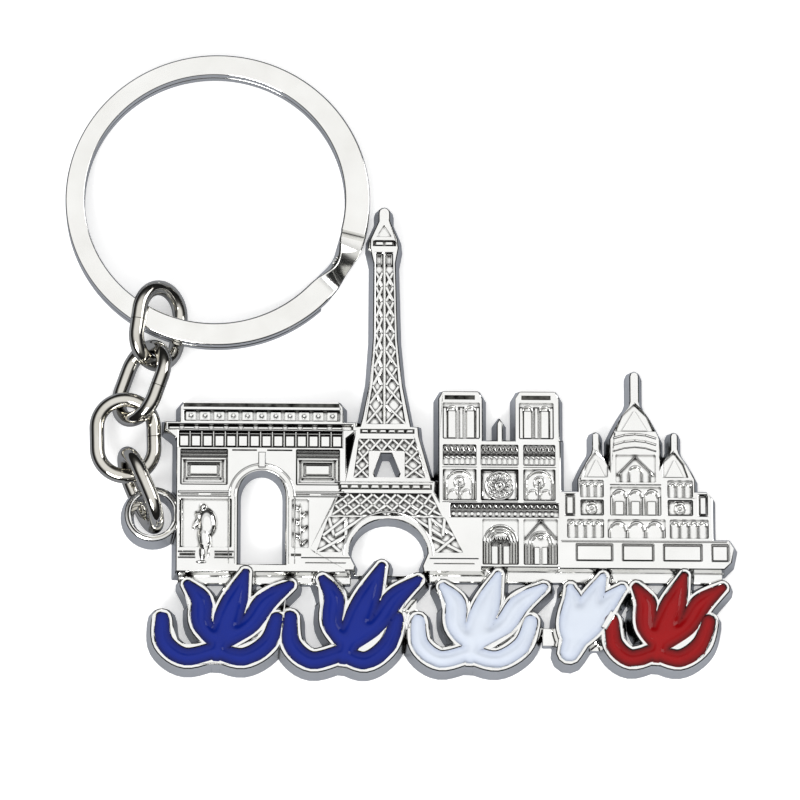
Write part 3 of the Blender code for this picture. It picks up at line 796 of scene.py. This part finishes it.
class KEYCHAIN_OT_cathedral(bpy.types.Operator):
    """Cathedral front: blind lights, balustrades, windows, rose window, gallery and portals"""

    bl_idname = "keychain.cathedral"
    bl_label = "Cathedral"

    def execute(self, context):
        piece = begin_piece("cathedral_front")
        for left, right in ((25.9, 29.55), (33.35, 36.75)):
            self.belfry(left, right)
        for left, right in ((25.9, 29.2), (29.6, 33.3), (33.75, 36.9)):
            self.balustrade(left, right)
        for left, right in ((25.9, 29.2), (33.75, 36.9)):
            self.side_window(left, right)
        self.rose_window((31.45, 8.15))
        self.gallery()
        self.portals()
        finish_relief(piece)
        return {"FINISHED"}

    def belfry(self, left, right):
        """Two tall blind lights under small arches, between broad flat columns."""
        middle = (left + right) / 2
        for side_left, side_right in ((left, middle), (middle, right)):
            centre = (side_left + side_right) / 2
            round_moulding((centre, 15.62), 0.45, 0.16, half=True, sides=20)
            panel(centre - 0.4, 12.85, centre + 0.4, 15.62, 2.16)
        for x in (left + 0.22, middle, right - 0.22):
            bar((x, 14.35), 0.36, 3.1, 2.26)
            panel(x - 0.3, 15.85, x + 0.3, 16.0, 2.2)

    def balustrade(self, left, right):
        """A traceried parapet over a row of fine columns."""
        count = round((right - left) / 0.55)
        zigzag(left, 11.45, right, 12.1, count, 0.12)
        panel(left, 11.22, right, 11.36, MOULDING + STEP_DOWN)
        arcade(left + 0.08, 10.1, right - 0.08, 11.15, count, column=0.12)
        panel(left + 0.08, 10.2, right - 0.08, 11.0, 2.1)

    def side_window(self, left, right):
        """A pointed window of two lights with a small rose."""
        centre = (left + right) / 2
        round_moulding((centre, 8.35), 1.3, 0.2, half=True, sides=28)
        round_moulding((centre, 8.55), 0.52, 0.16, MOULDING - STEP_DOWN, sides=20)
        stud((centre, 8.55), 0.17)
        for offset in (-1.3, 0.0, 1.3):
            bar((centre + offset, 7.5), 0.17, 1.75)
        for offset in (-0.65, 0.65):
            round_moulding((centre + offset, 7.35), 0.42, 0.13, MOULDING - STEP_DOWN, half=True, sides=14)
        panel(left, 6.62, right, 6.76, MOULDING + STEP_DOWN)
        for x in (left + 0.08, right - 0.08):
            bar((x, 8.2), 0.15, 3.0)

    def rose_window(self, centre):
        """A wheel of twelve petals in a square frame."""
        border(centre[0] - 1.75, 6.65, centre[0] + 1.75, 9.7, 0.15)
        round_moulding(centre, 1.36, 0.2, sides=40)
        round_moulding(centre, 0.42, 0.14, sides=24)
        stud(centre, 0.18)
        for i in range(12):
            turn = math.radians(30 * i)
            ray = Vector((math.cos(turn), math.sin(turn)))
            strut(Vector(centre) + ray * 0.5, Vector(centre) + ray * 1.0, 0.1, MOULDING - STEP_DOWN)
            half_turn = turn + math.radians(15)
            petal = Vector(centre) + Vector((math.cos(half_turn), math.sin(half_turn))) * 1.02
            round_moulding(petal, 0.2, 0.1, MOULDING - 2 * STEP_DOWN, sides=12)

    def gallery(self):
        """A zigzag parapet over a row of beads."""
        zigzag(26.7, 5.78, 37.1, 6.25, 18, 0.12)
        panel(26.6, 5.6, 37.2, 5.72, MOULDING + STEP_DOWN)
        for x in row(26.95, 0.6, 17):
            stud((x, 5.3), 0.2, sides=10)

    def portals(self):
        """The middle portal with its tympanum, and the gabled one beside it."""
        middle = (31.52, 2.6)
        for radius in (1.62, 1.32, 1.02):
            round_moulding(middle, radius, 0.18, half=True, sides=28)
        panel(30.6, 2.42, 32.44, 2.58, MOULDING + STEP_DOWN)
        zigzag(30.75, 2.7, 32.3, 3.1, 4, 0.1)
        for x in (29.92, 30.22, 30.52, 32.52, 32.82, 33.12):
            bar((x, 1.45), 0.15, 2.2)
        bar((31.52, 1.3), 0.2, 2.1)
        for x in (30.95, 32.1):
            panel(x - 0.35, 0.35, x + 0.35, 2.2, 2.0)
        gable = (35.45, 4.7)
        strut((33.95, 2.9), gable, 0.17)
        strut(gable, (36.95, 2.9), 0.17, MOULDING - STEP_DOWN)
        for radius in (1.15, 0.85):
            round_moulding((gable[0], 2.45), radius, 0.16, half=True, sides=24)
        for offset in (-1.5, -1.15, -0.85, 0.85, 1.15, 1.5):
            bar((gable[0] + offset, 1.35), 0.14, 2.1)
        for offset in (-0.4, 0.4):
            panel(gable[0] + offset - 0.27, 0.35, gable[0] + offset + 0.27, 2.1, 2.0)
        stud((gable[0], 3.05), 0.3, 2.1)


class KEYCHAIN_OT_basilica(bpy.types.Operator):
    """Domed basilica: pointed panels, drums, arcades and terrace panels"""

    bl_idname = "keychain.basilica"
    bl_label = "Basilica"

    def execute(self, context):
        piece = begin_piece("basilica_front")
        self.domes()
        self.centre_front()
        self.side_towers()
        self.lower_front()
        self.rim_divider()
        finish_relief(piece)
        return {"FINISHED"}

    def domes(self):
        """Plain pointed panels in the domes, and the curved bands of the main drum."""
        pointed_panel((44.65, 13.72), 1.22, 2.0, 2.1)
        pointed_panel((40.88, 9.1), 0.85, 1.75, 2.1)
        pointed_panel((48.52, 9.1), 0.85, 1.75, 2.1)
        for y, width in ((11.6, 0.16), (12.25, 0.24), (12.9, 0.24)):
            for x in row(42.55, 1.05, 4):
                bulge = [0.42 * (1 - ((end - 44.65) / 2.1) ** 2) for end in (x, x + 1.05)]
                strut((x, y + bulge[0]), (x + 1.05, y + bulge[1]), width, FACE + 0.08, FACE - SINK)

    def centre_front(self):
        """Gabled bay over three tall arches."""
        strut((42.95, 9.3), (44.7, 11.1), 0.18)
        strut((44.7, 11.1), (46.5, 9.3), 0.18, MOULDING - STEP_DOWN)
        round_moulding((44.7, 9.55), 0.62, 0.18, half=True, sides=20)
        for offset in (-0.62, 0.62):
            bar((44.7 + offset, 9.05), 0.17, 1.0)
        for x in (43.3, 46.1):
            bar((x, 9.0), 0.15, 0.9)
        on_face(42.2, 8.2, 47.2, 8.34, 0.07)
        arcade(42.35, 5.2, 47.05, 8.0, 3, column=0.24)
        for x in row(43.13, 1.567, 3):
            panel(x - 0.42, 5.3, x + 0.42, 6.7, 2.05)

    def side_towers(self):
        """Three small arches over a round window, and the plain wings beside them."""
        for left, right in ((39.3, 41.6), (47.8, 50.3)):
            arcade(left + 0.12, 7.0, right - 0.12, 8.65, 3)
            centre = (left + right) / 2
            round_moulding((centre, 6.0), 0.5, 0.17, sides=24)
            stud((centre, 6.0), 0.2, 2.1)
            border(left + 0.06, 5.25, right - 0.06, 6.75, 0.14, 2.2)
        for left, right in ((37.8, 38.8), (50.8, 51.75)):
            panel(left + 0.18, 5.4, right - 0.18, 7.1, 2.12)

    def lower_front(self):
        """Small and wide arches on the ground floor, and the panels of the terrace."""
        arcade(38.1, 2.95, 41.5, 4.78, 4)
        arcade(42.1, 2.95, 47.45, 4.8, 3, column=0.22)
        arcade(48.1, 2.95, 51.7, 4.78, 4)
        for left, right in ((38.8, 42.5), (43.3, 46.5), (47.3, 51.2), (52.0, 53.8)):
            panel(left + 0.18, 0.82, right - 0.18, 2.27, 2.0)
        on_face(37.4, 2.62, 53.6, 2.74, 0.06)

    def rim_divider(self):
        """Short rim that parts the white from the red enamel, where their pockets meet."""
        strut((42.44, -4.37), (41.46, -6.01), 0.6, 2.45, 1.6)


ENAMEL_FILLS = {
    "blue_enamel_left": ("enamel_blue_1", "enamel_blue"),
    "blue_enamel_right": ("enamel_blue_2", "enamel_blue"),
    "white_enamel_left": ("enamel_white_1", "enamel_white"),
    "white_enamel_right": ("enamel_white_2", "enamel_white"),
    "red_enamel": ("enamel_red", "enamel_red"),
}


class KEYCHAIN_OT_enamel(bpy.types.Operator):
    """Enamel fills: poured up to the rims, with a curl at each wall and a soft crown"""

    bl_idname = "keychain.enamel"
    bl_label = "Enamel"

    def execute(self, context):
        tones = context.scene.finish_colours
        finishes = {
            "enamel_blue": hard_enamel("blue_hard_enamel", tones.blue, tones.blue_rim_shade),
            "enamel_white": hard_enamel("white_hard_enamel", tones.white, tones.white_rim_shade),
            "enamel_red": hard_enamel("red_hard_enamel", tones.red, tones.red_rim_shade),
        }
        for name, (node, slot) in ENAMEL_FILLS.items():
            piece = self.poured(name, node, context.scene.enamel_sizes)
            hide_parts(node)
            finish_piece(piece, "charm", finishes[slot], crease=80)
        return {"FINISHED"}

    def poured(self, name, node, sizes):
        """Grow a fill to its pocket and shape its surface."""
        piece = copy_of_node(name, node)
        piece.data.transform(plate_place().inverted())
        walls = self.walls(piece)
        solid = BVHTree.FromPolygons([v.co for v in piece.data.vertices],
                                     [p.vertices for p in piece.data.polygons])
        apply_modifier(piece, "REMESH", mode="VOXEL", voxel_size=sizes.grain)
        apply_modifier(piece, "DISPLACE", strength=(sizes.gap + sizes.overlap) * MM, mid_level=0.0)
        self.shape_surface(piece, walls, solid, sizes)
        apply_modifier(piece, "SMOOTH", factor=0.5, iterations=sizes.smoothing, use_x=False, use_y=False)
        put_in_place(piece, plate_place())
        return piece

    def walls(self, piece):
        """A search tree of a fill's upright faces."""
        mesh = bmesh.new()
        mesh.from_mesh(piece.data)
        level = [face for face in mesh.faces if abs(face.normal.z) > 0.5]
        bmesh.ops.delete(mesh, geom=level, context="FACES")
        tree = BVHTree.FromBMesh(mesh)
        mesh.free()
        return tree

    def shape_surface(self, piece, walls, solid, sizes):
        """Set the height of the upper surface from the distance to the pocket's wall."""
        mesh = piece.data
        middle = (max(v.co.z for v in mesh.vertices) + min(v.co.z for v in mesh.vertices)) / 2
        depth = mesh.attributes.new("from_rim", "FLOAT", "POINT")
        for vertex in mesh.vertices:
            probe = Vector((vertex.co.x, vertex.co.y, middle))
            distance = walls.find_nearest(probe)[3]
            inside = solid.ray_cast(probe + Vector((0, 0, MM)), Vector((0, 0, -1)))[0] is not None
            from_wall = max(sizes.gap + (distance if inside else -distance) / MM, 0.0)
            rise = math.exp(-from_wall / sizes.meniscus)
            crown = 1 - math.exp(-(from_wall / sizes.shoulder) ** 2)
            # Painted shade: how far the darker colour beside the rim reaches
            depth.data[vertex.index].value = 1 - math.exp(-from_wall / sizes.rim_shade_width)
            if vertex.co.z > middle:
                level = sizes.low_level + sizes.crown * crown
                vertex.co.z = (level + (sizes.wall_level - level) * rise) * MM
        mesh.update()


class KEYCHAIN_OT_links(bpy.types.Operator):
    """Chain links: bent wire with a butt joint in one straight side"""

    bl_idname = "keychain.links"
    bl_label = "Links"

    def execute(self, context):
        material = plated_wire()
        for number in range(1, 5):
            node = f"chain_link_{number}"
            piece = self.bent_wire(f"wire_link_{number}", node, context.scene.link_sizes)
            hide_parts(node)
            finish_piece(piece, f"link_{number}", material, crease=60)
        return {"FINISHED"}

    def measure(self, node):
        """Place, length, width and thickness of a link, from its CAD node."""
        mesh = frame["nodes"][node].data
        points = np.zeros(len(mesh.vertices) * 3)
        mesh.vertices.foreach_get("co", points)
        points = points.reshape(-1, 3)
        axes = np.linalg.eigh(np.cov(points.T))[1]
        along, across = Vector(axes[:, 2]), Vector(axes[:, 1])
        if along.y < 0:
            along.negate()
        turn = Matrix((across, along, across.cross(along))).transposed()
        local = points @ np.array(turn)
        low, high = local.min(axis=0), local.max(axis=0)
        centre = turn @ Vector((low + high) / 2)
        width, length, thickness = high - low
        return Matrix.Translation(centre) @ turn.to_4x4(), length, width, thickness

    def bent_wire(self, name, node, sizes):
        """Run a round section along a straight, round an end, and back."""
        place, length, width, wire = self.measure(node)
        radius = (width - wire) / 2
        half = (length - width) / 2
        piece = begin_piece(name)
        bpy.ops.mesh.primitive_circle_add(vertices=sizes.sides, radius=wire / 2, fill_type="NOTHING",
                                          location=(radius, -half, 0), rotation=(math.pi / 2, 0, 0))
        at = -half
        for y, scale in ((-2 * sizes.seam, 1.0), (-sizes.seam / 2, 1.0), (0.0, sizes.seam_waist),
                         (sizes.seam / 2, 1 / sizes.seam_waist), (2 * sizes.seam, 1.0), (half, 1.0)):
            bpy.ops.mesh.extrude_region_move(TRANSFORM_OT_translate={"value": (0, y - at, 0)})
            bpy.ops.transform.resize(value=(scale, scale, scale), center_override=(radius, y, 0))
            at = y
        bpy.ops.mesh.spin(steps=sizes.end_steps, angle=-math.pi, center=(0, half, 0), axis=(0, 0, 1))
        for _ in range(4):
            bpy.ops.mesh.extrude_region_move(TRANSFORM_OT_translate={"value": (0, -half / 2, 0)})
        bpy.ops.mesh.spin(steps=sizes.end_steps, angle=-math.pi, center=(0, -half, 0), axis=(0, 0, 1))
        bpy.ops.mesh.select_all(action="SELECT")
        bpy.ops.mesh.remove_doubles(threshold=0.005 * MM)
        bpy.ops.mesh.normals_make_consistent(inside=False)
        put_in_place(piece, place)
        return piece


class KEYCHAIN_OT_ring(bpy.types.Operator):
    """Split ring: a flat band wound twice, with a narrow climb and blunt ends"""

    bl_idname = "keychain.ring"
    bl_label = "Split ring"

    def execute(self, context):
        sizes = context.scene.ring_sizes
        joint = next(j for j in frame["joints"] if j["name"] == "ring_turn")
        centre = Vector(joint["pos_m"])
        turn = Vector((0, 0, 1)).rotation_difference(Vector(joint["axis"]))
        place = Matrix.Translation(centre) @ turn.to_matrix().to_4x4()
        piece = self.wound_band(sizes, self.outer_radius(place))
        put_in_place(piece, place)
        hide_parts("split_ring")
        finish_piece(piece, "ring", ground_steel(centre, turn.to_euler()), crease=40)
        return {"FINISHED"}

    def outer_radius(self, place):
        """Distance from the ring's axis to the furthest point of its CAD node."""
        inverse = place.inverted()
        return max((inverse @ v.co).xy.length for v in frame["nodes"]["split_ring"].data.vertices)

    def wound_band(self, sizes, outer):
        """Spin the band's section round twice, then lift and narrow it step by step."""
        piece = begin_piece("wound_ring")
        middle = outer - sizes.band / 2
        start = math.radians(-sizes.start)
        bpy.ops.mesh.primitive_plane_add(size=1, location=(middle, 0, 0), rotation=(math.pi / 2, 0, 0))
        bpy.ops.transform.resize(value=(sizes.band, 1, sizes.coil), center_override=(middle, 0, 0))
        bpy.ops.mesh.bevel(offset=sizes.edge, segments=4, affect="VERTICES")
        bpy.ops.mesh.select_all(action="SELECT")
        sweep = math.radians(sizes.end - sizes.start)
        bpy.ops.mesh.spin(steps=sizes.steps, angle=sweep, center=(0, 0, 0), axis=(0, 0, 1))
        bpy.ops.object.mode_set(mode="OBJECT")
        section = len(piece.data.vertices) // (sizes.steps + 1)
        for vertex in piece.data.vertices:
            step = vertex.index // section
            degrees = sizes.start + (sizes.end - sizes.start) * step / sizes.steps
            vertex.co = self.wound_place(vertex.co, sizes, outer, degrees)
        piece.data.transform(Matrix.Rotation(start, 4, "Z"))
        self.blunt_ends(piece, sizes.blunt)
        return piece

    def wound_place(self, point, sizes, outer, degrees):
        """Where a point of the flat band goes: raised by its coil, narrowed and rolled in the climb."""
        climb = (degrees - sizes.climb_start) / (sizes.climb_end - sizes.climb_start)
        climb = min(max(climb, 0.0), 1.0)
        lift = (sizes.coil + sizes.gap) * climb * climb * (3 - 2 * climb)
        waist = math.sin(math.pi * climb) ** 2
        width = sizes.band + sizes.swell * math.cos(math.radians(degrees - sizes.end))
        middle = outer - width / 2
        width *= 1 - (1 - sizes.climb_waist) * waist
        offset = Vector((((point.xy.length - outer) / sizes.band + 0.5) * width, point.z))
        offset.rotate(Matrix.Rotation(-sizes.climb_roll * waist, 2))
        outward = point.xy.normalized() * (middle + offset.x)
        return Vector((outward.x, outward.y, offset.y + lift - (sizes.coil + sizes.gap) / 2))

    def blunt_ends(self, piece, blunt):
        """Round the two cut ends of the band."""
        make_active(piece)
        bpy.ops.object.mode_set(mode="EDIT")
        bpy.ops.mesh.select_mode(type="FACE")
        for end in range(2):
            bpy.ops.mesh.select_all(action="DESELECT")
            mesh = bmesh.from_edit_mesh(piece.data)
            caps = sorted((face for face in mesh.faces if len(face.verts) > 4), key=lambda f: f.index)
            cap = caps[0] if end == 0 else caps[-1]
            cap.select = True
            outward = cap.normal * blunt
            centre = cap.calc_center_median() + outward
            bmesh.update_edit_mesh(piece.data)
            bpy.ops.mesh.extrude_region_move(TRANSFORM_OT_translate={"value": outward})
            bpy.ops.transform.resize(value=(0.9, 0.9, 0.8), center_override=centre)
        bpy.ops.mesh.select_all(action="SELECT")
        bpy.ops.mesh.normals_make_consistent(inside=False)
        bpy.ops.mesh.select_mode(type="VERT")
        bpy.ops.object.mode_set(mode="OBJECT")


# ---------------------------------------------------------------- stage

# Lamps: place and side in metres, power in watts
LAMPS = {
    "key_light": ((-0.25, -0.45, 0.5), 0.3, 4.0),
    "fill_light": ((0.5, 0.2, 0.35), 0.35, 1.2),
}
# Light of the tent between the horizon and its bright top: height of the direction, and level
TENT_LEVELS = ((0.42, 0.02), (0.62, 0.1), (0.78, 0.72))


class KEYCHAIN_OT_stage(bpy.types.Operator):
    """Pale floor, an overhead tent of light with dark edges, a soft key light and the camera"""

    bl_idname = "keychain.stage"
    bl_label = "Stage"

    def execute(self, context):
        sizes = context.scene.studio_sizes
        clear_selection()
        bpy.ops.mesh.primitive_plane_add(size=sizes.floor)
        floor = context.object
        floor.name = "floor"
        floor.data.materials.append(matte_floor())
        self.tent(context.scene, sizes)
        for name, (place, side, power) in LAMPS.items():
            self.soft_light(name, Vector(place), side, power)
        self.camera(context.scene, sizes)
        context.scene.view_settings.view_transform = "Standard"
        return {"FINISHED"}

    def tent(self, scene, sizes):
        """Light from above that falls off to a dark horizon, which gives polished edges their dark lines."""
        world = bpy.data.worlds.new("light_tent")
        scene.world = world
        world.use_nodes = True
        tree = world.node_tree
        direction = add_node(tree, "ShaderNodeTexCoord").outputs["Generated"]
        height = add_node(tree, "ShaderNodeSeparateXYZ", {"Vector": direction})
        ramp = add_node(tree, "ShaderNodeValToRGB", {"Fac": height.outputs["Z"]})
        stops = ramp.color_ramp.elements
        stops[0].position, stops[0].color = 0.0, (0.015, 0.015, 0.016, 1)
        stops[1].position, stops[1].color = 0.88, (1, 1, 1, 1)
        for position, level in TENT_LEVELS:
            stops.new(position).color = (level, level, level, 1)
        seen = add_node(tree, "ShaderNodeLightPath").outputs["Is Camera Ray"]
        backdrop = (sizes.backdrop, sizes.backdrop, sizes.backdrop, 1)
        background = tree.nodes["Background"]
        tree.links.new(blend(tree, seen, ramp.outputs["Color"], backdrop), background.inputs["Color"])
        background.inputs["Strength"].default_value = sizes.tent

    def soft_light(self, name, place, side, power):
        """A square lamp that faces the keychain."""
        bpy.ops.object.light_add(type="AREA", location=place)
        lamp = bpy.context.object
        lamp.name = name
        lamp.data.size = side
        lamp.data.energy = power
        lamp.rotation_euler = (-place).to_track_quat("-Z", "Y").to_euler()

    def camera(self, scene, sizes):
        """A long lens over the keychain, a little towards its foot."""
        towards = Vector((0, -math.cos(sizes.elevation), math.sin(sizes.elevation)))
        place = Vector((0, sizes.aim, 0)) + towards * sizes.distance
        bpy.ops.object.camera_add(location=place)
        camera = bpy.context.object
        camera.name = "camera"
        camera.rotation_euler = (-towards).to_track_quat("-Z", "Y").to_euler()
        camera.data.lens = sizes.lens
        camera.data.clip_start = 0.01
        scene.camera = camera


# ---------------------------------------------------------------- add-on

PROPERTY_GROUPS = {
    "relief_sizes": ReliefSizes,
    "enamel_sizes": EnamelSizes,
    "link_sizes": LinkSizes,
    "ring_sizes": RingSizes,
    "finish_colours": FinishColours,
    "studio_sizes": StudioSizes,
}

OPERATORS = (
    KEYCHAIN_OT_casting,
    KEYCHAIN_OT_arch,
    KEYCHAIN_OT_groove_shade,
    KEYCHAIN_OT_figures,
    KEYCHAIN_OT_tower,
    KEYCHAIN_OT_cathedral,
    KEYCHAIN_OT_basilica,
    KEYCHAIN_OT_enamel,
    KEYCHAIN_OT_links,
    KEYCHAIN_OT_ring,
    KEYCHAIN_OT_stage,
)


class KEYCHAIN_PT_panel(bpy.types.Panel):
    """Buttons that build the keychain, in order"""

    bl_label = "Keychain"
    bl_idname = "KEYCHAIN_PT_panel"
    bl_space_type = "VIEW_3D"
    bl_region_type = "UI"
    bl_category = "Keychain"

    def draw(self, context):
        for operator in OPERATORS:
            self.layout.operator(operator.bl_idname)
        for name, group in PROPERTY_GROUPS.items():
            box = self.layout.box()
            box.label(text=name.replace("_", " "))
            for key in group.__annotations__:
                box.prop(getattr(context.scene, name), key)


def register():
    """Register the sizes, the operators and the panel."""
    for name, group in PROPERTY_GROUPS.items():
        bpy.utils.register_class(group)
        setattr(bpy.types.Scene, name, PointerProperty(type=group))
    for item in (*OPERATORS, KEYCHAIN_PT_panel):
        bpy.utils.register_class(item)


def unregister():
    """Undo register."""
    for item in reversed((*OPERATORS, KEYCHAIN_PT_panel)):
        bpy.utils.unregister_class(item)
    for name, group in PROPERTY_GROUPS.items():
        delattr(bpy.types.Scene, name)
        bpy.utils.unregister_class(group)


def main():
    """Build every piece and the stage."""
    register()
    nickel_plate()
    for operator in OPERATORS:
        group, name = operator.bl_idname.split(".")
        getattr(getattr(bpy.ops, group), name)()
    clear_selection()


if __name__ == "__main__":
    main()
